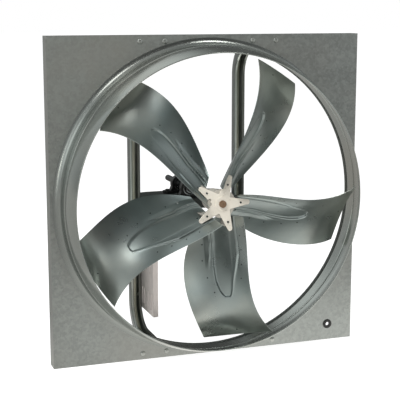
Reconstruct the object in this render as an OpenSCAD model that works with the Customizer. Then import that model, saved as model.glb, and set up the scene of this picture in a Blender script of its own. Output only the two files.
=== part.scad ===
// Panel-mounted propeller exhaust fan with a bare belt-drive shaft.
// X is right, Y is depth towards the drive side, Z is up, all in mm.
// The origin is on the fan axis, in the plane of the panel's front face.

/* [Panel] */
// side of the square wall panel
panel_w = 1371.6; // [900:0.1:1600]
// depth of the turned-back panel flanges
flange_d = 64; // [30:1:100]
// sheet thickness of the panel and the ring
sheet = 2; // [1:0.1:4]
// radius of the cable grommet hole
grommet_hole_r = 16; // [8:0.5:30]
// cable grommet centre, sideways
grommet_x = 569; // [300:1:600]
// cable grommet centre, below the axis
grommet_z = -614; // [-640:1:-300]

/* [Orifice ring] */
// inner radius of the ring at the panel
throat_r = 641; // [400:0.5:700]
// bend radius where the panel sheet runs into the ring
bell_r = 33; // [20:1:36]
// inner radius of the ring at its front lip
lip_r = 618; // [400:0.5:700]
// how far the ring stands in front of the panel
ring_d = 189; // [80:1:250]

/* [Drive frame] */
// distance of each post from the fan axis
post_x = 247; // [150:1:400]
// width of the post channel
post_w = 50; // [30:1:80]
// depth of the post channel
post_d = 38; // [20:1:60]
// depth position of the upright part of the posts
post_y = 300; // [200:1:400]
// centre-line radius of the post bends
bend_r = 130; // [60:1:160]
// height of the post legs above the axis
leg_z = 628; // [500:1:650]
// height of the foot bolts above the axis
foot_z = 660; // [600:1:670]

/* [Shaft and bearings] */
// shaft radius in the hub
shaft_r = 15; // [10:0.5:25]
// shaft radius in the bearings
journal_r = 15; // [8:0.5:20]
// shaft radius at the bare sheave end
drive_r = 14; // [8:0.5:20]
// front end of the shaft
shaft_y0 = -170; // [-220:1:-100]
// rear end of the shaft
shaft_y1 = 579; // [450:1:700]
// front bearing position
brg_y0 = 265; // [240:1:300]
// rear bearing position
brg_y1 = 400; // [340:1:450]
// shaft height above the bearing base
brg_h = 42.9; // [30:0.1:60]
// bearing bolt distance from the fan axis
brg_bolt = 60.5; // [50:0.5:80]

/* [Motor plate] */
// middle of the motor foot slots, depth
motor_y = 185; // [160:1:220]
// middle of the motor foot slots, height
motor_z = -262; // [-320:1:-200]

/* [Propeller] */
// radius of the blade tips
tip_r = 609.6; // [400:0.1:640]
// blade sheet thickness
blade_t = 2.5; // [1.5:0.1:5]
// number of blades
blades = 5; // [3:1:8]
// direction of the first blade
blade_a = 4; // [0:1:72]
// camber as a share of the chord at the root
camber_root = 0.12; // [0:0.01:0.2]
// camber as a share of the chord at the tip
camber_tip = 0.07; // [0:0.01:0.2]
// front face of the star plate
star_y = -157; // [-200:1:-120]

/* [Hidden] */
$fn = 96;
half = panel_w / 2;
base_top = -brg_h;
post_in = post_x - post_w / 2;
post_back = post_y + post_d / 2;
post_front = post_y - post_d / 2;
step_a = 360 / blades;
root_r = 66;
ns = 18;
nu = 12;
boss_back = -34;
plate_y0 = 98;
plate_z0 = -535;
plate_z1 = -126;

// blade stations: radius, trailing edge offset and depth, leading edge offset and depth
stations = [
    [66, 40, -232, -77, -44],
    [200, 13, -215, -190, 26],
    [400, -32, -186, -260, -22],
    [600, -6, -174, -250, 12]
];

// ---------- helpers ----------

// cylinder along +Y starting at depth y
module ycyl(r, y0, y1, x = 0, z = 0) {
    translate([x, y0, z]) rotate([-90, 0, 0]) cylinder(r = r, h = y1 - y0);
}

// cylinder along +X
module xcyl(r, x0, x1, y = 0, z = 0) {
    translate([x0, y, z]) rotate([0, 90, 0]) cylinder(r = r, h = x1 - x0);
}

// cylinder along +Z
module zcyl(r, z0, z1, x = 0, y = 0) {
    translate([x, y, z0]) cylinder(r = r, h = z1 - z0);
}

// axis-aligned box from two corners
module box(a, b) {
    translate(a) cube(b - a);
}

// spins a flat profile of [radius, depth] about the fan axis
module spin_y() {
    rotate([-90, 0, 0]) mirror([0, 0, 0]) rotate_extrude($fn = 160) children();
}

// hexagon prism along +Y, af is the distance across flats
module yhex(af, y0, y1, x = 0, z = 0) {
    translate([x, y0, z]) rotate([-90, 0, 0]) hexprism(af, y1 - y0);
}

module hexprism(af, h) {
    intersection_for (k = [0:2])
        rotate([0, 0, 60 * k]) translate([-af, -af / 2, 0]) cube([2 * af, af, h]);
}

// ---------- panel ----------

module wall_panel() {
    color([0.55, 0.58, 0.57]) difference() {
        box([-half, 0, -half], [half, flange_d, half]);
        box([-half + sheet, sheet, -half + sheet], [half - sheet, flange_d + 1, half - sheet]);
        ycyl(throat_r, -1, sheet + 1);
        ycyl(grommet_hole_r, -1, sheet + 1, grommet_x, grommet_z);
        for (sx = [-1, 1]) for (sz = [-1, 1]) for (dx = [-53, 53])
            ycyl(6.5, -1, sheet + 1, sx * post_x + dx, sz * foot_z);
        for (s = [-1, 1]) for (p = [-457.2, 457.2]) {
            if (s < 0) xcyl(5.5, -half - 1, -half + sheet + 1, 40, p);
            if (s > 0) xcyl(5.5, half - sheet - 1, half + 1, 40, p);
            zcyl(5.5, s > 0 ? half - sheet - 1 : -half - 1, s > 0 ? half + 1 : -half + sheet + 1, p, 40);
        }
    }
}

// middle line of the ring sheet, as [radius, depth in front of the panel]
function ring_line() = concat(
    [[throat_r + bell_r + 2, 1]],
    [for (a = [0:10:90]) [throat_r + 1 + bell_r - bell_r * sin(a), bell_r + 1 - bell_r * cos(a)]],
    [[throat_r + 1, 78]],
    [for (a = [0:30:180]) [throat_r + 1 + 3.5 * sin(a), 87 - 8 * cos(a)]],
    [for (k = [0:8]) let (q = k / 8)
        [throat_r + 1 - (throat_r - lip_r) * pow(q, 1.7), 104 + (ring_d - 107) * q]]
);

// offsets a polyline sideways by d
function side(pts, d) = [for (i = [0:len(pts) - 1])
    let (a = pts[max(i - 1, 0)], b = pts[min(i + 1, len(pts) - 1)], v = b - a, n = norm(v))
    pts[i] + d * [v[1], -v[0]] / n];

module orifice_ring() {
    line = ring_line();
    outer = side(line, sheet / 2);
    inner = side(line, -sheet / 2);
    color([0.58, 0.61, 0.6]) rotate([90, 0, 0]) rotate_extrude($fn = 160) union() {
        polygon(concat(outer, [for (i = [len(inner) - 1:-1:0]) inner[i]]));
        translate([lip_r + 1, ring_d - 2.5]) circle(r = 2.5, $fn = 24);
    }
}

module corner_rivets() {
    color([0.6, 0.62, 0.6]) for (sx = [-1, 1]) for (sz = [-1, 1]) for (y = [22, 50]) {
        xcyl(3, sx > 0 ? half - sheet - 2 : -half - 1.2, sx > 0 ? half + 1.2 : -half + sheet + 2,
            y, sz * 672);
    }
}

module grommet() {
    color([0.06, 0.06, 0.06]) difference() {
        union() {
            ycyl(21, -4, 0, grommet_x, grommet_z);
            ycyl(grommet_hole_r, -1, sheet + 1, grommet_x, grommet_z);
            ycyl(21, sheet, sheet + 4, grommet_x, grommet_z);
        }
        ycyl(8, -5, sheet + 5, grommet_x, grommet_z);
    }
}

// ---------- posts ----------

// lipped channel section: x across the post, y from the web (0) to the open side
module channel() {
    difference() {
        translate([-post_w / 2, 0]) square([post_w, post_d]);
        translate([-post_w / 2 + 3, 3]) square([post_w - 6, post_d - 6]);
        translate([-post_w / 2 + 12, 3]) square([post_w - 24, post_d]);
    }
}

module post_half() {
    run = leg_z - bend_r;
    // upright run
    translate([0, post_back, 0]) mirror([0, 1, 0]) linear_extrude(run) channel();
    // bend towards the panel
    translate([0, post_y - bend_r, run]) rotate([0, 0, 90]) rotate([90, 0, 0])
        rotate_extrude(angle = 90, $fn = 96) translate([bend_r + post_d / 2, 0]) rotate([0, 0, 90]) channel();
    // leg
    translate([0, post_y - bend_r, leg_z + post_d / 2]) rotate([90, 0, 0]) mirror([0, 1, 0])
        linear_extrude(post_y - bend_r - sheet - 4) channel();
}

module post(s) {
    color([0.5, 0.53, 0.52]) difference() {
        translate([s * post_x, 0, 0]) union() {
            post_half();
            mirror([0, 0, 1]) post_half();
        }
        post_holes(s);
    }
}

module post_holes(s) {
    inner0 = s < 0 ? -post_in - 4 : post_in - 1;
    for (z = [-68, -98]) xcyl(5.5, inner0, inner0 + 5, post_y, z);
    if (s < 0) for (z = [-140, -260, -380, -480]) xcyl(5.5, inner0, inner0 + 5, post_y, z);
}

module left_post() { post(-1); }
module right_post() { post(1); }

module post_feet() {
    color([0.5, 0.53, 0.52]) for (sx = [-1, 1]) for (sz = [-1, 1]) difference() {
        box([sx * post_x - 70, sheet, sz > 0 ? 622 : -680],
            [sx * post_x + 70, sheet + 4, sz > 0 ? 680 : -622]);
        for (dx = [-53, 53]) ycyl(6.5, 0, 10, sx * post_x + dx, sz * foot_z);
    }
}

module foot_bolts() {
    color([0.62, 0.64, 0.62]) for (sx = [-1, 1]) for (sz = [-1, 1]) for (dx = [-53, 53]) {
        x = sx * post_x + dx;
        z = sz * foot_z;
        translate([x, 0, z]) intersection() {
            translate([0, 9.5, 0]) sphere(r = 15, $fn = 48);
            ycyl(12, -6, 0);
        }
        ycyl(6, -0.5, 24, x, z);
    }
}

module foot_nuts() {
    color([0.62, 0.64, 0.62]) for (sx = [-1, 1]) for (sz = [-1, 1]) for (dx = [-53, 53]) {
        x = sx * post_x + dx;
        z = sz * foot_z;
        difference() {
            union() {
                ycyl(12, sheet + 4, sheet + 6, x, z);
                yhex(19, sheet + 6, sheet + 16, x, z);
            }
            ycyl(6, 0, 40, x, z);
        }
    }
}

// ---------- bearing base ----------

module bearing_base() {
    x1 = post_in;
    r = 90;
    color([0.4, 0.44, 0.42]) difference() {
        union() {
            translate([0, 0, base_top - 5]) linear_extrude(5) difference() {
                translate([-x1, 225]) square([2 * x1, 245]);
                for (s = [-1, 1]) difference() {
                    translate([s > 0 ? x1 - r : -x1 - 1, 470 - r]) square([r + 1, r + 1]);
                    translate([s * (x1 - r), 470 - r]) circle(r = r);
                }
            }
            box([-x1, 225, base_top - 45], [x1, 230, base_top - 4]);
            box([-x1 + r, 465, base_top - 45], [x1 - r, 470, base_top - 4]);
        }
        for (x = [-brg_bolt, brg_bolt]) for (y = [brg_y0, brg_y1])
            zcyl(5.5, base_top - 10, base_top + 5, x, y);
    }
}

module base_angles() {
    color([0.42, 0.46, 0.44]) for (s = [-1, 1]) difference() {
        union() {
            box([s > 0 ? post_in - 5 : -post_in, 240, base_top - 80],
                [s > 0 ? post_in : -post_in + 5, 360, base_top - 5]);
            box([s > 0 ? post_in - 45 : -post_in, 240, base_top - 10],
                [s > 0 ? post_in : -post_in + 45, 360, base_top - 5]);
        }
        for (z = [-68, -98])
            xcyl(5.5, s > 0 ? post_in - 10 : -post_in - 5, s > 0 ? post_in + 5 : -post_in + 10, post_y, z);
    }
}

module bolt_x(s, y, z, len_in, len_out) {
    // bolt through a post side wall, head towards the fan axis
    translate([s * post_in, y, z]) rotate([0, s > 0 ? -90 : 90, 0]) {
        translate([0, 0, len_in]) hexprism(16, 6.5);
        translate([0, 0, -len_out]) cylinder(r = 5, h = len_in + len_out + 1);
    }
}

module nut_x(s, y, z) {
    translate([s * (post_in + 3), y, z]) rotate([0, s > 0 ? 90 : -90, 0]) difference() {
        hexprism(16, 8);
        translate([0, 0, -1]) cylinder(r = 5, h = 10);
    }
}

module base_bolts() {
    color([0.6, 0.62, 0.6]) for (s = [-1, 1]) for (z = [-68, -98]) bolt_x(s, post_y, z, 5, 14);
}

module base_nuts() {
    color([0.6, 0.62, 0.6]) for (s = [-1, 1]) for (z = [-68, -98]) nut_x(s, post_y, z);
}

module pillow_block(y) {
    w = 42;
    head = 28;
    color([0.07, 0.08, 0.08]) translate([0, y, 0]) difference() {
        union() {
            translate([0, head / 2, 0]) rotate([90, 0, 0]) linear_extrude(head) union() {
                circle(r = 41.5);
                polygon([[-39, -9], [39, -9], [47, -28], [47, base_top], [-47, base_top], [-47, -28]]);
            }
            translate([0, 0, base_top]) linear_extrude(13) union() {
                square([2 * brg_bolt, w], center = true);
                for (s = [-1, 1]) translate([s * brg_bolt, 0]) circle(r = w / 2);
            }
        }
        ycyl(31, -w, w);
        for (s = [-1, 1]) zcyl(5.5, base_top - 1, base_top + 20, s * brg_bolt, 0);
        zcyl(3, 25, 46);
    }
}

module pillow_front() { pillow_block(brg_y0); }
module pillow_rear() { pillow_block(brg_y1); }

module at_bearings() {
    for (y = [brg_y0, brg_y1]) translate([0, y, 0]) children();
}

module bearing_outers() {
    color([0.7, 0.71, 0.72]) at_bearings() difference() {
        ycyl(31, -9, 9);
        ycyl(27, -10, 10);
    }
}

module bearing_balls() {
    color([0.75, 0.76, 0.77]) at_bearings() union() {
        difference() {
            ycyl(24.3, -6.5, 6.5);
            ycyl(22.9, -7, 7);
        }
        for (k = [0:8]) rotate([0, 40 * k, 0]) translate([23.65, 0, 0]) sphere(r = 3, $fn = 32);
    }
}

module bearing_seals() {
    color([0.1, 0.1, 0.1]) at_bearings() for (y = [-8.2, 7]) difference() {
        ycyl(27, y, y + 1.2);
        ycyl(20.8, y - 1, y + 3);
    }
}

module bearing_inners() {
    color([0.72, 0.73, 0.74]) at_bearings() difference() {
        ycyl(20.3, -16, 24);
        ycyl(journal_r, -17, 25);
        for (a = [0, 120]) rotate([0, a, 0]) translate([0, 18, 0]) zcyl(2.5, 5, 24);
    }
}

module bearing_set_screws() {
    color([0.15, 0.15, 0.16]) at_bearings() for (a = [0, 120]) rotate([0, a, 0]) translate([0, 18, 0])
        zcyl(2.5, journal_r, 19.8);
}

module pillow_bolts() {
    color([0.6, 0.62, 0.6]) at_bearings() for (s = [-1, 1]) translate([s * brg_bolt, 0, 0]) {
        translate([0, 0, base_top + 13]) hexprism(16, 6.5);
        zcyl(5, base_top - 20, base_top + 14);
        translate([0, 0, base_top - 13]) hexprism(16, 8);
    }
}

module grease_fittings() {
    color([0.7, 0.58, 0.3]) at_bearings() union() {
        zcyl(3, 36, 43);
        translate([0, 0, 41.5]) hexprism(8, 4);
        zcyl(2.5, 44.5, 50);
        translate([0, 0, 50]) sphere(r = 3, $fn = 24);
    }
}

// ---------- motor plate ----------

module motor_plate() {
    x0 = -post_in;
    color([0.6, 0.6, 0.59]) difference() {
        union() {
            box([x0, plate_y0, plate_z0], [x0 + 4, post_back, plate_z1]);
            // stiffening flange along the front edge and two pressed ribs
            box([x0, plate_y0, plate_z0], [x0 + 22, plate_y0 + 4, plate_z1]);
            for (y = [116, 179, 250]) box([x0, y, plate_z0 + 110], [x0 + 8, y + 12, plate_z1 - 20]);
        }
        for (z = [-140, -260, -380, -480]) xcyl(5.5, x0 - 1, x0 + 5, post_y, z);
        for (y = [130, 177.5, 232, 262]) for (z = [plate_z0 + 30]) slot_x(x0, y, z, z + 65);
        for (y = [motor_y - 38.1, motor_y + 38.1]) for (z = [-61.9, 61.9])
            slot_x(x0, y, motor_z + z - 22, motor_z + z + 22);
    }
}

// vertical slot through a plate lying across X
module slot_x(x0, y, z0, z1) {
    r = 5.2;
    box([x0 - 2, y - r, z0], [x0 + 12, y + r, z1]);
    for (z = [z0, z1]) xcyl(r, x0 - 2, x0 + 12, y, z);
}

module motor_plate_bolts() {
    color([0.6, 0.62, 0.6]) for (z = [-140, -260, -380, -480]) bolt_x(-1, post_y, z, 4, 14);
}

module motor_plate_nuts() {
    color([0.6, 0.62, 0.6]) for (z = [-140, -260, -380, -480]) nut_x(-1, post_y, z);
}

// ---------- shaft and hub ----------

module fan_shaft() {
    color([0.6, 0.5, 0.42]) difference() {
        union() {
            ycyl(shaft_r, shaft_y0, 225);
            ycyl(journal_r, 224, 426);
            ycyl(drive_r, 425, shaft_y1);
        }
        // key seats for the hub and for the sheave
        box([-4, -130, shaft_r - 4], [4, boss_back - 8, shaft_r + 2]);
        box([-3, 500, drive_r - 3], [3, 565, drive_r + 2]);
    }
}

module hub_key() {
    color([0.3, 0.3, 0.32]) box([-4, -130, shaft_r - 4], [4, boss_back - 8, shaft_r + 3]);
}

// ---------- blades ----------

function lag(r, c) = let (p = stations)
    p[0][c] * (r - p[1][0]) * (r - p[2][0]) * (r - p[3][0])
        / ((p[0][0] - p[1][0]) * (p[0][0] - p[2][0]) * (p[0][0] - p[3][0]))
    + p[1][c] * (r - p[0][0]) * (r - p[2][0]) * (r - p[3][0])
        / ((p[1][0] - p[0][0]) * (p[1][0] - p[2][0]) * (p[1][0] - p[3][0]))
    + p[2][c] * (r - p[0][0]) * (r - p[1][0]) * (r - p[3][0])
        / ((p[2][0] - p[0][0]) * (p[2][0] - p[1][0]) * (p[2][0] - p[3][0]))
    + p[3][c] * (r - p[0][0]) * (r - p[1][0]) * (r - p[2][0])
        / ((p[3][0] - p[0][0]) * (p[3][0] - p[1][0]) * (p[3][0] - p[2][0]));

// outermost radius coordinate of the blade for chord share u, so that the tip is a circle
function reach(u) = let (t = -6 - 246 * u) sqrt(tip_r * tip_r - t * t);

// point of the blade's front face: s from root to tip, u from trailing to leading edge
function blade_pt(s, u) =
    let (r = root_r + (reach(u) - root_r) * s,
         tf = lag(r, 1), yf = lag(r, 2), tr = lag(r, 3), yr = lag(r, 4),
         m = camber_root + (camber_tip - camber_root) * s,
         k = 4 * u * (1 - u) * m)
    [r, yf + (yr - yf) * u - (tr - tf) * k, tf + (tr - tf) * u + (yr - yf) * k];

function blade_normal(s, u) =
    let (e = 0.01, a = blade_pt(s + e, u) - blade_pt(s - e, u), b = blade_pt(s, u + e) - blade_pt(s, u - e),
         n = cross(a, b))
    n / norm(n);

function front_grid() = [for (i = [0:ns]) for (j = [0:nu]) blade_pt(i / ns, j / nu)];
function back_grid() = [for (i = [0:ns]) for (j = [0:nu])
    blade_pt(i / ns, j / nu) + blade_t * blade_normal(i / ns, j / nu)];

// closed solid between two grids of n by m points, grid a first
module slab(a, b, n, m) {
    o = n * m;
    quads = concat(
        [for (i = [0:n - 2]) for (j = [0:m - 2])
            [i * m + j, i * m + j + 1, (i + 1) * m + j + 1, (i + 1) * m + j]],
        [for (i = [0:n - 2]) for (j = [0:m - 2])
            [o + (i + 1) * m + j, o + (i + 1) * m + j + 1, o + i * m + j + 1, o + i * m + j]],
        [for (j = [0:m - 2]) [j + 1, j, o + j, o + j + 1]],
        [for (j = [0:m - 2]) let (e = (n - 1) * m + j) [e, e + 1, o + e + 1, o + e]],
        [for (i = [0:n - 2]) [i * m, (i + 1) * m, o + (i + 1) * m, o + i * m]],
        [for (i = [0:n - 2]) [(i + 1) * m + m - 1, i * m + m - 1, o + i * m + m - 1, o + (i + 1) * m + m - 1]]
    );
    tris = [for (q = quads) for (t = [[q[2], q[1], q[0]], [q[3], q[2], q[0]]]) t];
    polyhedron(points = concat(a, b), faces = tris);
}

// turns something drawn along +X to the direction of blade k
module at_blade(k) {
    rotate([0, -(blade_a + step_a * k), 0]) children();
}

module blade(k) {
    color([0.45, 0.5, 0.49]) at_blade(k) slab(front_grid(), back_grid(), ns + 1, nu + 1);
}

module blade_1() { blade(0); }
module blade_2() { blade(1); }
module blade_3() { blade(2); }
module blade_4() { blade(3); }
module blade_5() { blade(4); }

// wedge that fills the space between the star plate and a blade's front face
module blade_pads() {
    pts = [for (i = [0:1]) for (j = [5:7]) blade_pt(i / ns, j / nu)];
    top = [for (p = pts) [p[0], star_y + 4, p[2]]];
    seat = [for (p = pts) [p[0], p[1] - 0.8, p[2]]];
    color([0.62, 0.62, 0.58]) for (k = [0:blades - 1]) at_blade(k) slab(top, seat, 2, 3);
}

module hub_boss() {
    color([0.62, 0.62, 0.58]) difference() {
        union() {
            ycyl(46, star_y + 4, boss_back);
            ycyl(60, star_y + 4, star_y + 16);
        }
        ycyl(shaft_r, -200, 0);
        box([-4, -130, 0], [4, boss_back + 1, shaft_r + 3]);
        for (a = [0, 90]) rotate([0, a, 0]) translate([0, -58, 0]) zcyl(5, 0, 60);
    }
}

module hub_set_screws() {
    color([0.15, 0.15, 0.16]) for (a = [0, 90]) rotate([0, a, 0]) translate([0, -58, 0])
        zcyl(5, a == 0 ? shaft_r + 3 : shaft_r, 42);
}

module star_arm() {
    polygon([[0, -23], [42, -23], [112, -10.5], [112, 10.5], [42, 23], [0, 23]]);
    translate([112, 0]) circle(r = 10.5, $fn = 32);
}

module star_plate() {
    color([0.88, 0.86, 0.79]) difference() {
        union() {
            translate([0, star_y + 4, 0]) rotate([90, 0, 0]) linear_extrude(4) union() {
                circle(r = 44);
                for (k = [0:blades - 1]) rotate([0, 0, 0.6 + step_a * k]) star_arm();
            }
            ycyl(30, star_y - 4, star_y + 1);
        }
        ycyl(shaft_r, -200, -100);
        ycyl(7, -200, -100, -54, 17);
    }
}

module star_rivets() {
    color([0.5, 0.5, 0.5]) for (k = [0:blades - 1]) rotate([0, -(0.6 + step_a * k), 0])
        ycyl(4, star_y - 2.5, star_y + 9, 82, 0);
}

// rivets along both long edges of each blade root and through the pad
module blade_rivets() {
    color([0.5, 0.52, 0.52]) for (k = [0:blades - 1]) at_blade(k) {
        for (p = rivet_spots) rivet(p[0], p[1], p[2]);
    }
}

// place along the blade, place across it, and radius of each rivet
rivet_spots = [[0.028, 0.5, 4], [0.083, 0.46, 4], [0.06, 0.78, 5.5], [0.11, 0.83, 5.5], [0.08, 0.32, 5.5],
    [0.155, 0.135, 3.6], [0.265, 0.11, 3.6], [0.38, 0.11, 3.6], [0.49, 0.13, 3.6], [0.205, 0.78, 3.6],
    [0.33, 0.74, 3.6], [0.465, 0.67, 3.6], [0.585, 0.595, 3.6], [0.94, 0.48, 3.6]];

module rivet(s, u, r) {
    p = blade_pt(s, u);
    n = blade_normal(s, u);
    translate(p) rotate([0, 0, atan2(n[1], n[0])]) rotate([0, acos(n[2]), 0])
        translate([0, 0, -2]) cylinder(r = r, h = blade_t + 4, $fn = 24);
}

wall_panel();
orifice_ring();
corner_rivets();
left_post();
right_post();
post_feet();
foot_bolts();
foot_nuts();
bearing_base();
base_angles();
base_bolts();
base_nuts();
pillow_front();
pillow_rear();
bearing_outers();
bearing_balls();
bearing_seals();
pillow_bolts();
grease_fittings();
motor_plate();
motor_plate_bolts();
motor_plate_nuts();
grommet();
fan_shaft();
bearing_inners();
bearing_set_screws();
hub_boss();
blade_pads();
hub_key();
hub_set_screws();
star_plate();
star_rivets();
blade_1();
blade_2();
blade_3();
blade_4();
blade_5();
blade_rivets();
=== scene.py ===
import bpy, bmesh, math
import numpy as np
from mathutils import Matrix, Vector


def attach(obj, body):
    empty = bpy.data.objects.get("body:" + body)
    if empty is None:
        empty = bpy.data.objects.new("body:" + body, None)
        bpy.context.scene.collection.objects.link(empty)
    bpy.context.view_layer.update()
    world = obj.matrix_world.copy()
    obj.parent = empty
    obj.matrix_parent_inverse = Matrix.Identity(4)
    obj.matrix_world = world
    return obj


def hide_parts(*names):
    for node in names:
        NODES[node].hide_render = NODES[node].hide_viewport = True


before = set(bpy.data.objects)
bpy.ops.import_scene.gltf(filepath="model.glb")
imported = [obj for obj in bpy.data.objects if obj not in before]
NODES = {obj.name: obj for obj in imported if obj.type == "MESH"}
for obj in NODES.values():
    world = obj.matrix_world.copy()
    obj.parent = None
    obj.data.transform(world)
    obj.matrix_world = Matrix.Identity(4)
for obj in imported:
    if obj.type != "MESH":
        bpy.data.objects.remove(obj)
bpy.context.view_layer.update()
MM = 0.001
NEAR_AXIS = 0.00002                 # radius at which turned caps close

# ---------------------------------------------------------------- camera
PANEL = 1.3716                      # side of the square panel, m
cam_data = bpy.data.cameras.new("view_camera")
cam = bpy.data.objects.new("view_camera", cam_data)
bpy.context.scene.collection.objects.link(cam)
cam_data.sensor_width = 36.0
cam_data.lens = 96.2
cam_data.clip_end = 200.0
cam.location = Vector((-1.1095, -3.0735, 0.5783)) * PANEL
AZ, EL = math.radians(19.35), math.radians(-10.17)
look = Vector((math.sin(AZ) * math.cos(EL), math.cos(AZ) * math.cos(EL), math.sin(EL)))
cam.rotation_euler = look.to_track_quat("-Z", "Y").to_euler()
bpy.context.scene.camera = cam
bpy.context.scene.view_settings.view_transform = "Standard"


# ---------------------------------------------------------------- node helpers
class Mat:
    """A small wrapper that builds a procedural material."""

    def __init__(self, name, **sockets):
        self.m = bpy.data.materials.new(name)
        self.m.use_nodes = True
        self.t = self.m.node_tree
        self.b = self.t.nodes["Principled BSDF"]
        for k, v in sockets.items():
            self.b.inputs[k.replace("_", " ")].default_value = v
        self.co = self.t.nodes.new("ShaderNodeTexCoord").outputs["Object"]

    def node(self, kind, **props):
        n = self.t.nodes.new(kind)
        for k, v in props.items():
            setattr(n, k, v)
        return n

    def link(self, a, b):
        self.t.links.new(a, b)

    def mapping(self, scale):
        n = self.node("ShaderNodeMapping")
        n.inputs["Scale"].default_value = scale
        self.link(self.co, n.inputs["Vector"])
        return n.outputs["Vector"]

    def noise(self, scale, detail=4.0, rough=0.55, vec=None, dist=0.0):
        n = self.node("ShaderNodeTexNoise")
        n.inputs["Scale"].default_value = scale
        n.inputs["Detail"].default_value = detail
        n.inputs["Roughness"].default_value = rough
        n.inputs["Distortion"].default_value = dist
        self.link(vec or self.co, n.inputs["Vector"])
        return n.outputs["Fac"]

    def cells(self, scale, vec):
        n = self.node("ShaderNodeTexVoronoi")
        n.inputs["Scale"].default_value = scale
        self.link(vec, n.inputs["Vector"])
        return n

    def remap(self, x, a, b, c, d):
        n = self.node("ShaderNodeMapRange")
        n.inputs["From Min"].default_value = a
        n.inputs["From Max"].default_value = b
        n.inputs["To Min"].default_value = c
        n.inputs["To Max"].default_value = d
        self.link(x, n.inputs["Value"])
        return n.outputs["Result"]

    def math(self, op, a, b):
        n = self.node("ShaderNodeMath", operation=op)
        for i, v in enumerate((a, b)):
            if isinstance(v, (int, float)):
                n.inputs[i].default_value = v
            else:
                self.link(v, n.inputs[i])
        return n.outputs["Value"]

    def ramp(self, x, stops):
        n = self.node("ShaderNodeValToRGB")
        e = n.color_ramp.elements
        while len(e) < len(stops):
            e.new(0.5)
        for el, (p, c) in zip(e, stops):
            el.position = p
            el.color = (*c, 1.0)
        self.link(x, n.inputs["Fac"])
        return n.outputs["Color"]

    def mix(self, fac, a, b, mode="MIX"):
        n = self.node("ShaderNodeMix", data_type="RGBA", blend_type=mode)
        if isinstance(fac, (int, float)):
            n.inputs["Factor"].default_value = fac
        else:
            self.link(fac, n.inputs["Factor"])
        for sock, v in ((n.inputs[6], a), (n.inputs[7], b)):
            if isinstance(v, tuple):
                sock.default_value = (*v, 1.0)
            else:
                self.link(v, sock)
        return n.outputs[2]

    def color(self, c):
        self.link(c, self.b.inputs["Base Color"])

    def rough(self, r):
        self.link(r, self.b.inputs["Roughness"])

    def bump(self, h, strength, distance):
        n = self.node("ShaderNodeBump")
        n.inputs["Strength"].default_value = strength
        n.inputs["Distance"].default_value = distance
        self.link(h, n.inputs["Height"])
        self.link(n.outputs["Normal"], self.b.inputs["Normal"])


def scaled(c, k):
    """A colour made k times as bright."""
    return tuple(x * k for x in c)


def galvanised(name, base, rough, spangle, size, cloud, bump, tint, metallic=0.85):
    """Hot-dip galvanised sheet: crystal spangle, cloudy grey patches and faint handling marks."""
    m = Mat(name, Metallic=metallic)
    warp = m.node("ShaderNodeVectorMath", operation="ADD")
    n = m.node("ShaderNodeTexNoise")
    n.inputs["Scale"].default_value = size * 0.6
    m.link(m.co, n.inputs["Vector"])
    sc = m.node("ShaderNodeVectorMath", operation="SCALE")
    sc.inputs["Scale"].default_value = 0.5 / size
    m.link(n.outputs["Color"], sc.inputs[0])
    m.link(m.co, warp.inputs[0])
    m.link(sc.outputs["Vector"], warp.inputs[1])
    crystals = []
    for cells in (m.cells(size, warp.outputs["Vector"]), m.cells(size * 0.45, warp.outputs["Vector"])):
        channels = m.node("ShaderNodeSeparateColor")
        m.link(cells.outputs["Color"], channels.inputs["Color"])
        crystals.append(channels)
    g = m.math("ADD", m.math("MULTIPLY", crystals[0].outputs["Red"], 0.6),
               m.math("MULTIPLY", crystals[1].outputs["Green"], 0.4))
    low = m.ramp(g, [(0.15, scaled(base, 1 - spangle)), (0.85, scaled(base, 1 + spangle))])
    patches = m.noise(3.2, 5.0, 0.6)
    cl = m.ramp(patches, [(0.3, (1 - cloud,) * 3), (0.7, (1 + cloud,) * 3)])
    col = m.mix(1.0, low, cl, "MULTIPLY")
    col = m.mix(m.remap(m.noise(2.1, 3.0), 0.42, 0.7, 0.0, 0.45), col, tint)
    marks = m.noise(9.0, 8.0, 0.72, m.mapping((1.0, 1.0, 14.0)))
    col = m.mix(m.remap(marks, 0.62, 0.74, 0.0, 0.25), col, scaled(base, 0.7))
    m.color(col)
    m.rough(m.math("ADD", m.remap(g, 0.0, 1.0, rough - 0.06, rough + 0.08),
                   m.remap(patches, 0.3, 0.7, -0.04, 0.05)))
    fine = m.noise(900.0, 2.0)
    h = m.math("ADD", m.math("MULTIPLY", g, 0.6), m.math("MULTIPLY", fine, 0.35))
    m.bump(h, bump, 0.0006)
    return m.m


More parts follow.
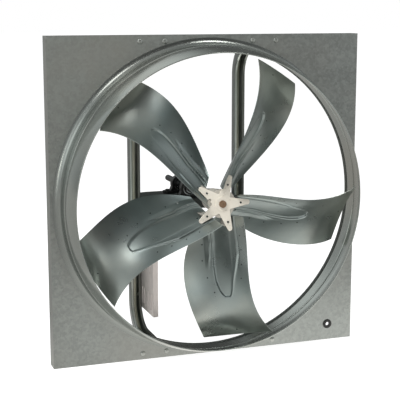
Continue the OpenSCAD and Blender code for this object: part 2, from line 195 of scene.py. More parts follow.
def satin(name, base, rough=0.3, metallic=0.9, cloud=0.07, streak=0.05, axis=(1.0, 1.0, 1.0), tint=None,
          bump=0.02, far_tone_or_shade=None, painted_light_stripes=None):
    """Smooth rolled zinc sheet: soft clouds, faint rolling streaks and an uneven sheen.

    far_tone_or_shade is a second tone away from the fan axis, a paler finish on the blades and painted shade in the
    ring's fillet: where it starts, where it is full, its colour, its roughness and how ragged the border is.
    painted_light_stripes are painted highlight and painted shade bands along a post: its middle plane, and the ramp.
    """
    m = Mat(name, Metallic=metallic)
    soft = m.noise(4.5, 3.0, 0.5, dist=0.4)
    lines = m.noise(26.0, 4.0, 0.6, m.mapping(axis))
    grain = m.noise(420.0, 2.0)
    col = m.ramp(soft, [(0.28, scaled(base, 1 - cloud)), (0.72, scaled(base, 1 + cloud))])
    col = m.mix(1.0, col, m.ramp(lines, [(0.3, (1 - streak,) * 3), (0.7, (1 + streak,) * 3)]), "MULTIPLY")
    if tint:
        col = m.mix(m.remap(m.noise(2.6, 3.0, 0.5), 0.48, 0.7, 0.0, 0.6), col, tint)
    sheen = m.math("ADD", m.remap(soft, 0.3, 0.7, rough - 0.03, rough + 0.05),
                   m.remap(lines, 0.3, 0.7, -0.02, 0.03))
    # a second tone by distance from the fan axis: a paler finish on the blades, painted shade on the ring's fillet
    if far_tone_or_shade:
        r0, r1, far_color_or_shade, far_rough, ragged = far_tone_or_shade
        flat = m.node("ShaderNodeVectorMath", operation="MULTIPLY")
        flat.inputs[1].default_value = (1.0, 0.0, 1.0)
        m.link(m.co, flat.inputs[0])
        radius = m.node("ShaderNodeVectorMath", operation="LENGTH")
        m.link(flat.outputs["Vector"], radius.inputs[0])
        uneven = m.math("ADD", radius.outputs["Value"],
                        m.remap(m.noise(7.0, 4.0, 0.6), 0.3, 0.7, -ragged, ragged))
        there = m.remap(uneven, r0, r1, 0.0, 1.0)
        col = m.mix(there, col, far_color_or_shade)
        sheen = m.math("ADD", sheen, m.math("MULTIPLY", there, far_rough - rough))
    # painted highlights and painted shade: bands across a post multiply its colour
    if painted_light_stripes:
        middle, light_bands = painted_light_stripes
        sep = m.node("ShaderNodeSeparateXYZ")
        m.link(m.co, sep.inputs["Vector"])
        across = m.remap(m.math("SUBTRACT", sep.outputs["X"], middle), -POST_W / 2, POST_W / 2, 0.0, 1.0)
        col = m.mix(1.0, col, m.ramp(across, light_bands), "MULTIPLY")
    m.color(col)
    m.rough(sheen)
    m.bump(m.math("ADD", m.math("MULTIPLY", lines, 0.8), m.math("MULTIPLY", grain, 0.2)), bump, 0.0008)
    return m.m


def painted(name, base, rough=0.45, cloud=0.08, metallic=0.0, wear=None, bump=0.15, grain=350.0):
    """Paint, rubber or cast skin: a cloudy colour, worn spots and a fine grain."""
    m = Mat(name, Metallic=metallic)
    c = m.noise(14.0, 5.0, 0.6)
    col = m.ramp(c, [(0.3, scaled(base, 1 - cloud)), (0.7, scaled(base, 1 + cloud))])
    if wear:
        spots = m.noise(60.0, 6.0, 0.7)
        col = m.mix(m.remap(spots, 0.6, 0.68, 0.0, 0.8), col, wear)
    m.color(col)
    m.rough(m.remap(m.noise(22.0, 4.0), 0.3, 0.7, rough - 0.07, rough + 0.08))
    m.bump(m.noise(grain, 3.0), bump, 0.0005)
    return m.m


def turned(name, base, rough=0.3, metallic=1.0, rust=None, painted_rear_shade=False):
    """Turned or ground steel with fine lines round the fan axis; painted_rear_shade paints what is behind the hub
    near black as painted shade.
    """
    m = Mat(name, Metallic=metallic)
    ln = m.noise(1400.0, 2.0, 0.5, m.mapping((0.02, 1.0, 0.02)))
    col = m.ramp(ln, [(0.3, scaled(base, 0.88)), (0.7, scaled(base, 1.1))])
    if rust:
        col = m.mix(m.remap(m.noise(80.0, 6.0, 0.7), 0.45, 0.7, 0.0, 0.85), col, rust)
    # painted shade: the shaft fades to near black from y -0.10 to -0.02 and stays so further back
    if painted_rear_shade:
        sep = m.node("ShaderNodeSeparateXYZ")
        m.link(m.co, sep.inputs["Vector"])
        rear_shade = m.math("ADD", sep.outputs["Y"], m.math("MULTIPLY", m.noise(30.0, 4.0), 0.02))
        col = m.mix(m.remap(rear_shade, -0.10, -0.02, 0.0, 1.0), col, (0.03, 0.034, 0.034))
    m.color(col)
    m.rough(m.remap(m.noise(40.0, 4.0), 0.3, 0.7, rough - 0.06, rough + 0.1))
    m.bump(ln, 0.1, 0.0003)
    return m.m


POST_X, POST_W = 0.247, 0.050       # a post's middle plane and width
# painted light across a post, from its left edge to its right one: dark side and dark groove in painted shade, pale
# face and bright edge as painted highlights
POST_LIGHT_BANDS = [(0.0, (0.38, 0.4, 0.42)), (0.03, (0.45, 0.47, 0.48)), (0.07, (1.45, 1.5, 1.5)), (0.30, (1.4, 1.43, 1.4)),
         (0.36, (0.42, 0.44, 0.44)), (0.44, (0.45, 0.46, 0.45)), (0.51, (2.0, 1.95, 1.7)), (0.67, (1.9, 1.85, 1.6)),
         (0.74, (0.55, 0.55, 0.53)), (1.0, (0.45, 0.46, 0.46))]

M = {
    "panel": galvanised("galv_panel", (0.31, 0.332, 0.322), rough=0.36, spangle=0.13, size=110.0, cloud=0.06,
                        bump=0.08, tint=(0.345, 0.34, 0.315)),
    # the ring's darker far zone is painted shade in the fillet where it bends up from the panel
    "ring": satin("galv_ring", (0.40, 0.43, 0.41), rough=0.20, cloud=0.05, streak=0.03, bump=0.0,
                  tint=(0.40, 0.39, 0.35), far_tone_or_shade=(0.646, 0.672, (0.27, 0.29, 0.28), 0.22, 0.002)),
    # the posts' colours carry painted highlight and painted shade bands across them
    "left_frame": satin("galv_left_post", (0.50, 0.52, 0.49), rough=0.31, cloud=0.08, streak=0.08,
                        axis=(1.0, 1.0, 0.1), bump=0.0, painted_light_stripes=(-POST_X, POST_LIGHT_BANDS)),
    "right_frame": satin("galv_right_post", (0.50, 0.52, 0.49), rough=0.31, cloud=0.08, streak=0.08,
                         axis=(1.0, 1.0, 0.1), bump=0.0, painted_light_stripes=(POST_X, POST_LIGHT_BANDS)),
    "frame": satin("galv_frame", (0.42, 0.44, 0.415), rough=0.26, cloud=0.10, streak=0.08, bump=0.0),
    "plate": satin("galv_plate", (0.84, 0.785, 0.77), rough=0.36, metallic=0.6, cloud=0.06, streak=0.05),
    "blade": satin("galv_blade", (0.30, 0.35, 0.347), rough=0.29, metallic=0.95, cloud=0.06, streak=0.03,
                   tint=(0.30, 0.32, 0.295), far_tone_or_shade=(0.40, 0.56, (0.43, 0.46, 0.43), 0.30, 0.05)),
    "button": satin("zinc_button", (0.42, 0.45, 0.44), rough=0.28, cloud=0.06, streak=0.03),
    "zinc": satin("zinc_fixing", (0.40, 0.42, 0.40), rough=0.33, cloud=0.08, streak=0.05),
    "dark": painted("dark_steel", (0.030, 0.036, 0.033), rough=0.42, wear=(0.07, 0.08, 0.07)),
    "black": painted("black_iron", (0.010, 0.011, 0.011), rough=0.5, wear=(0.03, 0.03, 0.03), bump=0.4, grain=500.0),
    "bearing": turned("bearing_steel", (0.6, 0.61, 0.62), rough=0.18),
    "seal": painted("seal_rubber", (0.012, 0.012, 0.012), rough=0.6),
    "grommet": painted("grommet_rubber", (0.01, 0.01, 0.01), rough=0.55, bump=0.3),
    "fitting": turned("dull_fitting", (0.22, 0.22, 0.21), rough=0.35),
    # the shaft behind the hub gets painted shade
    "shaft": turned("shaft_steel", (0.30, 0.20, 0.13), rough=0.42, metallic=0.7, rust=(0.20, 0.12, 0.075),
                    painted_rear_shade=True),
    "screws": painted("black_screws", (0.015, 0.015, 0.017), rough=0.35, metallic=0.6),
    "hub": painted("hub_casting", (0.42, 0.4, 0.36), rough=0.5, wear=(0.3, 0.27, 0.23), bump=0.5, grain=260.0),
    "star": painted("cream_star", (0.78, 0.74, 0.66), rough=0.4, cloud=0.05, metallic=0.1, wear=(0.55, 0.50, 0.43),
                    bump=0.25, grain=180.0),
    "rivet": satin("rivet_steel", (0.05, 0.06, 0.06), rough=0.35, metallic=0.6),
}

CAD_MATS = {
    "wall_panel": "panel", "orifice_ring": "ring", "corner_rivets": "zinc",
    "left_post": "left_frame", "right_post": "right_frame", "post_feet": "frame", "foot_bolts": "zinc",
    "foot_nuts": "zinc",
    "bearing_base": "dark", "base_angles": "dark", "base_bolts": "zinc", "base_nuts": "zinc",
    "pillow_front": "black", "pillow_rear": "black", "bearing_outers": "bearing", "bearing_balls": "bearing",
    "bearing_seals": "seal", "pillow_bolts": "dark", "grease_fittings": "fitting", "motor_plate": "plate",
    "motor_plate_bolts": "zinc", "motor_plate_nuts": "zinc", "grommet": "grommet", "fan_shaft": "shaft",
    "bearing_inners": "bearing", "bearing_set_screws": "screws", "hub_boss": "hub", "blade_pads": "hub",
    "hub_key": "shaft", "hub_set_screws": "screws", "star_plate": "star", "star_rivets": "rivet",
    "blade_rivets": "rivet",
}
for i in range(1, 6):
    CAD_MATS["blade_%d" % i] = "blade"
for name, mat in CAD_MATS.items():
    o = NODES[name]
    if not o.material_slots:
        o.data.materials.append(M[mat])
    for s in o.material_slots:
        s.material = M[mat]


def bevel(name, width):
    """Rounds the sharp edges of a CAD node."""
    b = NODES[name].modifiers.new("edge", "BEVEL")
    b.width = width
    b.segments = 2
    b.limit_method = "ANGLE"
    b.angle_limit = math.radians(38)
    b.harden_normals = True


for name, w in {"wall_panel": 0.0009, "post_feet": 0.0006, "bearing_base": 0.0012, "base_angles": 0.0012,
                "pillow_front": 0.0025, "pillow_rear": 0.0025, "motor_plate": 0.0008, "hub_boss": 0.0015,
                "star_plate": 0.0009, "foot_nuts": 0.0008, "base_nuts": 0.0006,
                "motor_plate_nuts": 0.0006, "base_bolts": 0.0005, "motor_plate_bolts": 0.0005,
                "pillow_bolts": 0.0005, "fan_shaft": 0.0008}.items():
    bevel(name, w)


# ---------------------------------------------------------------- mesh helpers
def piece(name, verts, faces, mat, slot, body, replaces=()):
    """Makes a new visible piece with its material, and lets it ride on a body; slot is not used."""
    me = bpy.data.meshes.new(name)
    me.from_pydata([tuple(v) for v in verts], [], [tuple(f) for f in faces])
    me.validate()
    o = bpy.data.objects.new(name, me)
    bpy.context.scene.collection.objects.link(o)
    bm = bmesh.new()
    bm.from_mesh(me)
    bmesh.ops.remove_doubles(bm, verts=bm.verts, dist=1e-6)
    bmesh.ops.recalc_face_normals(bm, faces=bm.faces)
    bm.to_mesh(me)
    bm.free()
    for p in me.polygons:
        p.use_smooth = True
    me.set_sharp_from_angle(angle=math.radians(42))
    me.materials.append(mat)
    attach(o, body)
    if replaces:
        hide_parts(*replaces)


def join(parts):
    """Joins (verts, faces) pairs."""
    V, F, n = [], [], 0
    for v, f in parts:
        V += [tuple(x) for x in v]
        F += [tuple(i + n for i in q) for q in f]
        n += len(v)
    return V, F


def lathe(profile, n):
    """Closed profile of (radius, y) turned about the Y axis."""
    V, F = [], []
    k = len(profile)
    for i in range(n):
        a = 2 * math.pi * i / n
        for r, y in profile:
            V.append((r * math.cos(a), y, r * math.sin(a)))
    for i in range(n):
        j = (i + 1) % n
        for q in range(k):
            p = (q + 1) % k
            F.append((i * k + q, i * k + p, j * k + p, j * k + q))
    return V, F


def place(part, at=(0, 0, 0), axis=(0, -1, 0)):
    """Moves a part drawn about the Y axis so that its -Y end points along axis."""
    q = Vector((0, -1, 0)).rotation_difference(Vector(axis))
    return [tuple(q @ Vector(v) + Vector(at)) for v in part[0]], part[1]


def dome(r, h, n=16, rings=4, skirt=0.0004):
    """Low domed rivet head about the Y axis: its flat back at y = skirt, its crown at y = -h."""
    rise = [0.5 * math.pi * i / rings for i in range(rings)]
    crown = [(r * math.cos(a), -h * math.sin(a)) for a in rise]
    return lathe([(NEAR_AXIS, skirt), (r, skirt)] + crown + [(NEAR_AXIS, -h)], n)


# ---------------------------------------------------------------- orifice ring
THROAT, LIP, DEPTH = 0.641, 0.618, 0.189    # radius at the throat and at the front lip, depth
BELL, SEAT = 0.033, 0.0008                  # radius of the bend up from the panel, depth of its start in the panel
WALL = THROAT + 0.001                       # middle of the sheet at the throat
HALF = 0.00095                              # half the sheet's thickness
BEAD_Y, BEAD_HALF, BEAD_RISE = 0.087, 0.008, 0.0036
TAPER_Y, TAPER_D = 0.104, DEPTH - 0.107     # where the wall starts to draw in, and how deep that part is
ROLL = 0.0024                               # radius of the rolled lip
RING_SIDES = 300


def ring_line():
    """Middle line of the ring sheet as (radius, depth in front of the panel), from the panel to the lip."""
    pts = []
    for a in np.linspace(0, 90, 25):
        a = math.radians(a)
        pts.append((WALL + BELL - BELL * math.sin(a), BELL - SEAT - BELL * math.cos(a)))
    pts += [(WALL, h) for h in (0.04, 0.052, 0.064, 0.073, 0.077)]
    for a in np.linspace(0, 180, 13):
        a = math.radians(a)
        pts.append((WALL + BEAD_RISE * math.sin(a), BEAD_Y - BEAD_HALF * math.cos(a)))
    for q in np.linspace(0.02, 1, 22):
        pts.append((WALL - (THROAT - LIP) * q ** 1.7, TAPER_Y + TAPER_D * q))
    return np.array(pts)


def shifted(pts, d):
    """A polyline moved sideways by d."""
    t = np.gradient(pts, axis=0)
    t /= np.linalg.norm(t, axis=1)[:, None]
    return pts + d * np.stack([t[:, 1], -t[:, 0]], 1)


line = ring_line()
outer, inner = shifted(line, HALF), shifted(line, -HALF)
prof = [(r, -y) for r, y in outer] + [(r, -y) for r, y in inner[::-1]]
lip = [(LIP + 0.001 + ROLL * math.cos(a), -(DEPTH - 0.0026) + ROLL * math.sin(a))
       for a in np.linspace(0, 2 * math.pi, 17)[:-1]]
piece("ring_skin", *join([lathe(prof, RING_SIDES), lathe(lip, RING_SIDES)]), M["ring"], "galvanised_ring", "frame",
      ["orifice_ring"])

# ---------------------------------------------------------------- posts
POST_D, POST_Y = 0.038, 0.300       # depth of the channel and its distance behind the panel face
BEND, LEG_Z = 0.130, 0.628          # radius of the post's corners and height of its legs
LEG_END, LEG_MID = 0.006, 0.09      # where a leg ends at its foot, and a point half way along it


def rounded(points, radii, n=4):
    """A polygon with its corners rounded, n segments each."""
    out = []
    k = len(points)
    for i, (p, r) in enumerate(zip(points, radii)):
        p = np.array(p, float)
        if r <= 0:
            out.append(p)
            continue
        a = np.array(points[i - 1], float) - p
        b = np.array(points[(i + 1) % k], float) - p
        a /= np.linalg.norm(a)
        b /= np.linalg.norm(b)
        for s in np.linspace(0, 1, n + 1):
            u, v = p + a * r * (1 - s) ** 2, b * r * s ** 2
            out.append(u + v)
    return out


w, d, t = POST_W / 2, POST_D, 0.003     # half width, depth and sheet of the channel
section = rounded(
    [(-w + 0.012, d), (-w, d), (-w, 0), (w, 0), (w, d), (w - 0.012, d),
     (w - 0.012, d - t), (w - t, d - t), (w - t, t), (-w + t, t), (-w + t, d - t), (-w + 0.012, d - t)],
    [0.0012, 0.0045, 0.0045, 0.0045, 0.0045, 0.0012, 0.0012, 0.002, 0.002, 0.002, 0.002, 0.0012])


def corner(start, end, z):
    """A bend of the post about height z, as points in Y and Z with the way that the channel's back faces."""
    turn = [(math.cos(a), math.sin(a)) for a in map(math.radians, np.linspace(start, end, 25))]
    return [((POST_Y - BEND + BEND * c, z + BEND * s), (c, s)) for c, s in turn]


def post_path():
    """Middle line of a post, from its lower foot to its upper one."""
    path = [((LEG_END, -LEG_Z), (0, -1)), ((LEG_MID, -LEG_Z), (0, -1))]
    path += corner(-90, 0, -(LEG_Z - BEND))
    path += [((POST_Y, z), (1, 0)) for z in (-0.3, -0.1, 0.1, 0.3)]
    path += corner(0, 90, LEG_Z - BEND)
    path += [((LEG_MID, LEG_Z), (0, 1)), ((LEG_END, LEG_Z), (0, 1))]
    return path


def post(sx):
    """The bent channel on the left (-1) or on the right (1)."""
    V, F = [], []
    path = post_path()
    k = len(section)
    for (y, z), (ny, nz) in path:
        for a, b in section:
            e = POST_D / 2 - b
            V.append((sx * POST_X + a, y + ny * e, z + nz * e))
    for i in range(len(path) - 1):
        for q in range(k):
            p = (q + 1) % k
            F.append((i * k + q, i * k + p, (i + 1) * k + p, (i + 1) * k + q))
    F.append(tuple(range(k)))
    F.append(tuple(reversed(range((len(path) - 1) * k, len(path) * k))))
    return V, F


piece("left_post_channel", *post(-1), M["left_frame"], "galvanised_frame", "frame", ["left_post"])
piece("right_post_channel", *post(1), M["right_frame"], "galvanised_frame", "frame", ["right_post"])

# carriage bolt heads on the panel face, with shanks behind
FOOT_Z, FOOT_DX = 0.660, 0.053
head = dome(0.0115, 0.0052, 28, 7, 0.0)
shank = lathe([(NEAR_AXIS, -0.0005), (0.006, -0.0005), (0.006, 0.023), (0.005, 0.024), (NEAR_AXIS, 0.024)], 20)
bolts = []
for sx in (-1, 1):
    for sz in (-1, 1):
        for dx in (-FOOT_DX, FOOT_DX):
            x, z = sx * POST_X + dx, sz * FOOT_Z
            bolts.append(place(head, (x, -0.0001, z)))
            bolts.append(place(shank, (x, 0, z)))
piece("foot_bolt_heads", *join(bolts), M["zinc"], "zinc_fixings", "frame", ["foot_bolts"])

# ---------------------------------------------------------------- grommet
GROMMET_X, GROMMET_Z = 0.569, -0.614
prof = rounded([(0.008, -0.004), (0.021, -0.004), (0.021, 0.0), (0.016, 0.0),
                (0.016, 0.002), (0.021, 0.002), (0.021, 0.006), (0.008, 0.006)],
               [0.003, 0.0035, 0.0005, 0, 0, 0.0005, 0.0035, 0.003], 5)
piece("cable_grommet_ring", *place(lathe([tuple(p) for p in prof], 48), (GROMMET_X, 0, GROMMET_Z)), M["grommet"],
      "grommet_rubber", "frame", ["grommet"])

# ---------------------------------------------------------------- blades
# mm: radius, then the front edge's place across and along the axis, then the rear edge's
STATIONS = np.array([[66, 40, -232, -77, -44], [200, 13, -215, -190, 26],
                     [400, -32, -186, -260, -22], [600, -6, -174, -250, 12]], float)
POLY = [np.polyfit(STATIONS[:, 0] / 600, STATIONS[:, c], 3) for c in (1, 2, 3, 4)]
TIP, ROOT, SHEET = 609.6, 66.0, 2.5     # tip and root radius and thickness of a blade, mm
INSET = 0.1                             # each face of the sheet lies this far inside the CAD one, mm
BLADES, FIRST_AT = 5, 4                 # number of blades and angle of the first, degrees


def blade_pt(s, u):
    """A point of the blade's front face in mm; s runs from root to tip, u from front edge to rear edge."""
    reach = np.sqrt(TIP * TIP - (6 + 246 * u) ** 2)
    r = ROOT + (reach - ROOT) * s
    tf, yf, tr, yr = [np.polyval(p, r / 600) for p in POLY]
    k = 4 * u * (1 - u) * (0.12 - 0.05 * s)
    return np.stack([r, yf + (yr - yf) * u - (tr - tf) * k, tf + (tr - tf) * u + (yr - yf) * k], -1)


def blade_normal(s, u):
    """Unit normal of the blade, towards the back."""
    e = 0.004
    a = blade_pt(s + e, u) - blade_pt(s - e, u)
    b = blade_pt(s, u + e) - blade_pt(s, u - e)
    n = np.cross(a, b)
    return n / np.linalg.norm(n, axis=-1, keepdims=True)


def step(x, a, b):
    """A smooth step from 0 at a to 1 at b."""
    q = np.clip((x - a) / (b - a), 0, 1)
    return q * q * (3 - 2 * q)


# lines of the pressed tongue along the blade: s, then u of its ridge, wall foot, far wall foot, far ridge, edge
TONGUE = np.array([
    [0.00, 0.290, 0.415, 0.760, 0.850, 0.955], [0.10, 0.240, 0.375, 0.675, 0.745, 0.850],
    [0.20, 0.188, 0.335, 0.605, 0.660, 0.745], [0.30, 0.168, 0.303, 0.580, 0.632, 0.705],
    [0.40, 0.205, 0.285, 0.560, 0.645, 0.690], [0.50, 0.262, 0.296, 0.540, 0.640, 0.690],
    [0.58, 0.300, 0.330, 0.500, 0.620, 0.690], [0.615, 0.330, 0.356, 0.462, 0.620, 0.690],
    [0.632, 0.350, 0.376, 0.430, 0.620, 0.690], [0.640, 0.365, 0.396, 0.408, 0.620, 0.690],
    [1.00, 0.380, 0.440, 0.520, 0.620, 0.720]])
TONGUE_END = 0.637                      # s at the tongue's tip
SOFT = 0.0045                           # half width in u of the rounding at each line
RIDGE_FLANK, FOOT_FLANK, FAR_FLANK = 0.020, 0.013, 0.016    # widths in u of the slopes beside the lines


def lines(s):
    """The five lines of the tongue at s."""
    return [np.interp(s, TONGUE[:, 0], TONGUE[:, c]) for c in range(1, 6)]


def press(s, u):
    """Height of the pressed stiffening in mm; minus is towards the front face."""
    ridge, foot, far_foot, far_ridge, far_edge = lines(s)
    live = step(s, -0.05, 0.02) * step(TONGUE_END - s, 0.0, 0.012)
    floor_h = 4.6 * live
    ridge_h = -4.4 * step(TONGUE_END - s, 0.0, 0.35) * step(s, -0.12, 0.08) - 0.5 * live
    far_h = -5.4 * step(0.43 - s, 0.0, 0.22) * step(s, -0.12, 0.05)
    knots = [(ridge - RIDGE_FLANK, 0 * s), (ridge, ridge_h), (foot, floor_h), (far_foot, floor_h),
             (far_foot + FOOT_FLANK, 0 * s), (far_ridge - FAR_FLANK, 0 * s), (far_ridge, far_h), (far_edge, 0 * s)]
    h = 0 * s
    for (u0, h0), (u1, h1) in zip(knots[:-1], knots[1:]):
        slope = (h1 - h0) / np.maximum(u1 - u0, 1e-4)
        h = h + slope * (ease(u - u0) - ease(u - u1))
    return h * (1.0 + 0.4 * step(s, 0.10, 0.25))


def ease(x):
    """A ramp max(x, 0) with a small rounding at its corner."""
    return np.where(x > SOFT, x, np.where(x < -SOFT, 0.0, (x + SOFT) ** 2 / (4 * SOFT)))


def at_blade(k, P):
    """Points or directions of blade k, from mm in its own frame to metres in the shared one."""
    a = math.radians(FIRST_AT + 360 / BLADES * k)
    er = np.array([math.cos(a), 0, math.sin(a)])
    et = np.array([-math.sin(a), 0, math.cos(a)])
    return (P[..., 0:1] * er + P[..., 1:2] * np.array([0, 1.0, 0]) + P[..., 2:3] * et) * MM


def grid():
    """Rows along the blade and columns that follow the lines of the tongue."""
    rows = np.concatenate([np.linspace(0, 0.56, 76), np.linspace(0.56, 0.655, 34)[1:],
                           np.linspace(0.655, 1, 36)[1:]])
    ridge, foot, far_foot, far_ridge, far_edge = lines(rows)
    marks = [0 * rows, ridge - RIDGE_FLANK, ridge, foot, far_foot, far_foot + FOOT_FLANK, far_ridge - FAR_FLANK,
             far_ridge, far_edge, 0 * rows + 1]
    counts = (7, 2, 6, 10, 2, 4, 2, 5, 10)
    cols = []
    for i, (m0, m1, n) in enumerate(zip(marks[:-1], marks[1:], counts)):
        lo = m0 + (SOFT if i else 0)
        hi = m1 - (SOFT if i < len(counts) - 1 else 0)
        lo, hi = np.minimum(lo, (m0 + m1) / 2 - 1e-4), np.maximum(hi, (m0 + m1) / 2 + 1e-4)
        if i:
            cols.append(m0)
        cols += [lo + (hi - lo) * q for q in np.linspace(0, 1, n + 1)]
    u = np.stack(cols, 1)
    return np.repeat(rows[:, None], u.shape[1], 1), u


def blade_mesh(k):
    """Closed mesh of one pressed blade."""
    s, u = grid()
    ns, nu = s.shape[0] - 1, s.shape[1] - 1
    P, N = blade_pt(s, u), blade_normal(s, u)
    h = press(s, u)[..., None]
    front = at_blade(k, P + N * (h + INSET))
    back = at_blade(k, P + N * (h + SHEET - INSET))
    m, n = ns + 1, nu + 1
    V = np.concatenate([front.reshape(-1, 3), back.reshape(-1, 3)])
    o = m * n
    F = []
    for i in range(ns):
        for j in range(nu):
            a, b, c, d = i * n + j, i * n + j + 1, (i + 1) * n + j + 1, (i + 1) * n + j
            F.append((a, b, c, d))
            F.append((o + d, o + c, o + b, o + a))
    for j in range(nu):
        F.append((j + 1, j, o + j, o + j + 1))
        q = ns * n + j
        F.append((q, q + 1, o + q + 1, o + q))
    for i in range(ns):
        F.append((i * n, (i + 1) * n, o + (i + 1) * n, o + i * n))
        q = i * n + nu
        F.append((q + n, q, o + q, o + q + n))
    return V, F


for k in range(BLADES):
    piece("blade_sheet_%d" % (k + 1), *blade_mesh(k), M["blade"], "galvanised_blade", "rotor",
          ["blade_%d" % (k + 1)])

# rivets of a blade: s, u and the radius in mm
SPOTS = [(0.06, 0.78, 5.5), (0.11, 0.83, 5.5), (0.08, 0.32, 5.5), (0.155, 0.135, 3.6), (0.265, 0.11, 3.6),
         (0.38, 0.11, 3.6), (0.49, 0.13, 3.6), (0.205, 0.78, 3.6), (0.33, 0.74, 3.6), (0.465, 0.67, 3.6),
         (0.585, 0.595, 3.6), (0.94, 0.48, 3.6), (0.028, 0.5, 4.0), (0.083, 0.46, 4.0)]
LARGE = 5                               # a rivet from this radius on is a bright button, mm
small, large = [], []
for k in range(BLADES):
    for s, u, r in SPOTS:
        s, u = np.array(s), np.array(u)
        p, n = blade_pt(s, u), blade_normal(s, u)
        h = float(press(s, u))
        for off, sg in ((h + INSET, -1), (h + SHEET - INSET, 1)):
            c = at_blade(k, p + n * off)
            ax = at_blade(k, n * sg)
            heads = small if r < LARGE else large
            heads.append(place(dome(r * MM * 0.92, r * MM * 0.36), c, Vector(ax).normalized()))
piece("blade_rivet_heads", *join(small), M["rivet"], "rivet_steel", "rotor", ["blade_rivets"])
piece("blade_root_buttons", *join(large), M["button"], "rivet_steel", "rotor", ["blade_rivets"])

# ---------------------------------------------------------------- hub front boss with crimped petals
STAR_Y = -0.157                         # front face of the star plate
PETALS, PETAL_H = 8, 0.0037
R_IN, R_OUT = 0.0152, 0.0300
V, F = [], []
nr, na = 14, 192
for i in range(nr + 1):
    q = i / nr
    r = R_IN + (R_OUT - R_IN) * q
    for j in range(na):
        a = 2 * math.pi * j / na
        wave = 0.5 + 0.5 * math.cos(PETALS * a)
        prof_h = math.sin(math.pi * min(1.0, 0.12 + 0.88 * q)) ** 0.8
        V.append((r * math.cos(a), STAR_Y - 0.0002 - PETAL_H * prof_h * (0.35 + 0.65 * wave), r * math.sin(a)))
for i in range(nr):
    for j in range(na):
        l = (j + 1) % na
        F.append((i * na + j, i * na + l, (i + 1) * na + l, (i + 1) * na + j))
base = len(V)
for r in (R_IN, R_OUT):
    for j in range(na):
        a = 2 * math.pi * j / na
        V.append((r * math.cos(a), STAR_Y + 0.0005, r * math.sin(a)))
for j in range(na):
    l = (j + 1) % na
    F.append((j, base + j, base + l, l))
    F.append((nr * na + j, nr * na + l, base + na + l, base + na + j))
    F.append((base + j, base + na + j, base + na + l, base + l))
piece("hub_petal_boss", V, F, M["star"], "cream_star", "rotor")

# ---------------------------------------------------------------- studio
FLOOR_Z = -0.6860
FAR, FRONT = 60.0, -12.0                # how far the floor reaches to the sides and back, and to the front
floor_me = bpy.data.meshes.new("floor")
floor_me.from_pydata([(-FAR, FRONT, FLOOR_Z), (FAR, FRONT, FLOOR_Z), (FAR, FAR, FLOOR_Z), (-FAR, FAR, FLOOR_Z)],
                     [], [(0, 1, 2, 3)])
floor = bpy.data.objects.new("floor", floor_me)
bpy.context.scene.collection.objects.link(floor)
fm = Mat("floor_white", Roughness=0.9)
fm.b.inputs["Base Color"].default_value = (0.5, 0.5, 0.5, 1)
fm.b.inputs["Specular IOR Level"].default_value = 0.1
fm.b.inputs["Emission Color"].default_value = (1, 1, 1, 1)
fm.b.inputs["Emission Strength"].default_value = 0.86
# what the sheet metal mirrors of the floor: a pale apron in front that falls off to a dim room
away = fm.node("ShaderNodeVectorMath", operation="DISTANCE")
fm.link(fm.co, away.inputs[0])
away.inputs[1].default_value = (0.6, -0.25, FLOOR_Z)
apron = fm.remap(away.outputs["Value"], 0.3, 1.9, 1.4, 0.45)
glow = fm.node("ShaderNodeEmission")
glow.inputs["Color"].default_value = (1.0, 0.975, 0.93, 1)
fm.link(apron, glow.inputs["Strength"])
path = fm.node("ShaderNodeLightPath")
pick = fm.node("ShaderNodeMixShader")
fm.link(path.outputs["Is Camera Ray"], pick.inputs[0])
fm.link(glow.outputs[0], pick.inputs[1])
fm.link(fm.b.outputs[0], pick.inputs[2])
fm.link(pick.outputs[0], fm.t.nodes["Material Output"].inputs["Surface"])
floor_me.materials.append(fm.m)


def toward(az, el):
    """Unit vector towards a direction: az turns from -Y to +X, el is height."""
    a, e = math.radians(az), math.radians(el)
    return (math.sin(a) * math.cos(e), -math.cos(a) * math.cos(e), math.sin(e))


world = bpy.data.worlds.new("studio")
bpy.context.scene.world = world
world.use_nodes = True
wt = world.node_tree
wt.nodes.clear()
out = wt.nodes.new("ShaderNodeOutputWorld")
tc = wt.nodes.new("ShaderNodeTexCoord")


def lobe(total, az, el, outer, inner, gain):
    """Adds gain to the room's brightness near one direction: none past outer, all within inner degrees."""
    d = wt.nodes.new("ShaderNodeVectorMath")
    d.operation = "DOT_PRODUCT"
    d.inputs[1].default_value = toward(az, el)
    wt.links.new(tc.outputs["Generated"], d.inputs[0])
    m = wt.nodes.new("ShaderNodeMapRange")
    m.interpolation_type = "SMOOTHSTEP"
    m.inputs["From Min"].default_value = math.cos(math.radians(outer))
    m.inputs["From Max"].default_value = math.cos(math.radians(inner))
    m.inputs["To Min"].default_value = 0.0
    m.inputs["To Max"].default_value = gain
    wt.links.new(d.outputs["Value"], m.inputs["Value"])
    add = wt.nodes.new("ShaderNodeMath")
    add.operation = "ADD"
    wt.links.new(m.outputs["Result"], add.inputs[0])
    if isinstance(total, float):
        add.inputs[1].default_value = total
    else:
        wt.links.new(total, add.inputs[1])
    return add.outputs["Value"]


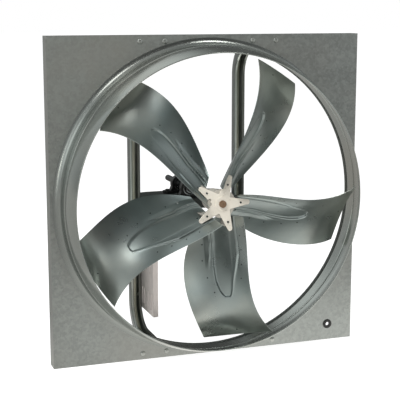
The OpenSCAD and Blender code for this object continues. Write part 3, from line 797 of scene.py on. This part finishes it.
# the room that the metal mirrors: an even grey with brighter and darker parts (az, el, outer, inner, gain)
room = 0.43
for part in ((-95, -10, 45, 15, -0.22), (90, 70, 35, 12, -0.2), (-42, 6, 22, 8, 0.6), (95, -12, 60, 20, 0.30),
             (14, 30, 38, 16, -0.40), (-78, 20, 20, 8, 0.9), (-160, 46, 34, 12, 0.5), (-172, 15, 14, 5, 0.3),
             (150, 28, 42, 16, -0.36), (160, 2, 18, 8, -0.12)):
    room = lobe(room, *part)
darkest = wt.nodes.new("ShaderNodeMath")
darkest.operation = "MAXIMUM"
wt.links.new(room, darkest.inputs[0])
darkest.inputs[1].default_value = 0.03
bg = wt.nodes.new("ShaderNodeBackground")
bg.inputs["Color"].default_value = (0.97, 1.0, 0.99, 1)
wt.links.new(darkest.outputs["Value"], bg.inputs["Strength"])
bgw = wt.nodes.new("ShaderNodeBackground")
bgw.inputs["Color"].default_value = (1, 1, 1, 1)
lp = wt.nodes.new("ShaderNodeLightPath")
mx = wt.nodes.new("ShaderNodeMixShader")
wt.links.new(lp.outputs["Is Camera Ray"], mx.inputs[0])
wt.links.new(bg.outputs[0], mx.inputs[1])
wt.links.new(bgw.outputs[0], mx.inputs[2])
wt.links.new(mx.outputs[0], out.inputs["Surface"])


def softbox(name, az, el, size, radiance, color=(1, 1, 1), glossy=True):
    """A rectangular lamp that faces the origin; glossy False leaves it out of reflections."""
    ld = bpy.data.lights.new(name, "AREA")
    ld.shape = "RECTANGLE"
    ld.size, ld.size_y = size
    ld.energy = radiance * math.pi * size[0] * size[1]
    ld.color = color
    o = bpy.data.objects.new(name, ld)
    bpy.context.scene.collection.objects.link(o)
    o.location = Vector(toward(az, el)) * LAMP_AT
    o.visible_camera = False
    o.visible_glossy = glossy
    o.rotation_euler = (-o.location).to_track_quat("-Z", "Y").to_euler()


LAMP_AT = 4.0
softbox("high_right", 38, 59, (0.9, 0.9), 6.0, (1.0, 0.98, 0.95))
softbox("high_left", -44, 50, (1.0, 1.0), 4.0, (1.0, 0.98, 0.95))
softbox("low_left", -44, 5, (0.5, 0.5), 4.0, (1.0, 0.93, 0.85))
softbox("side_right", 52, 16, (1.2, 1.2), 0.8, (0.95, 0.98, 1.0))
softbox("front", 8, 4.6, (0.7, 0.5), 1.6, (1.0, 0.93, 0.80))
softbox("soft_key", -35, 40, (2.5, 2.5), 7.0, (1.0, 0.985, 0.95), glossy=False)
softbox("soft_back", 160, 40, (2.0, 2.0), 3.0, glossy=False)
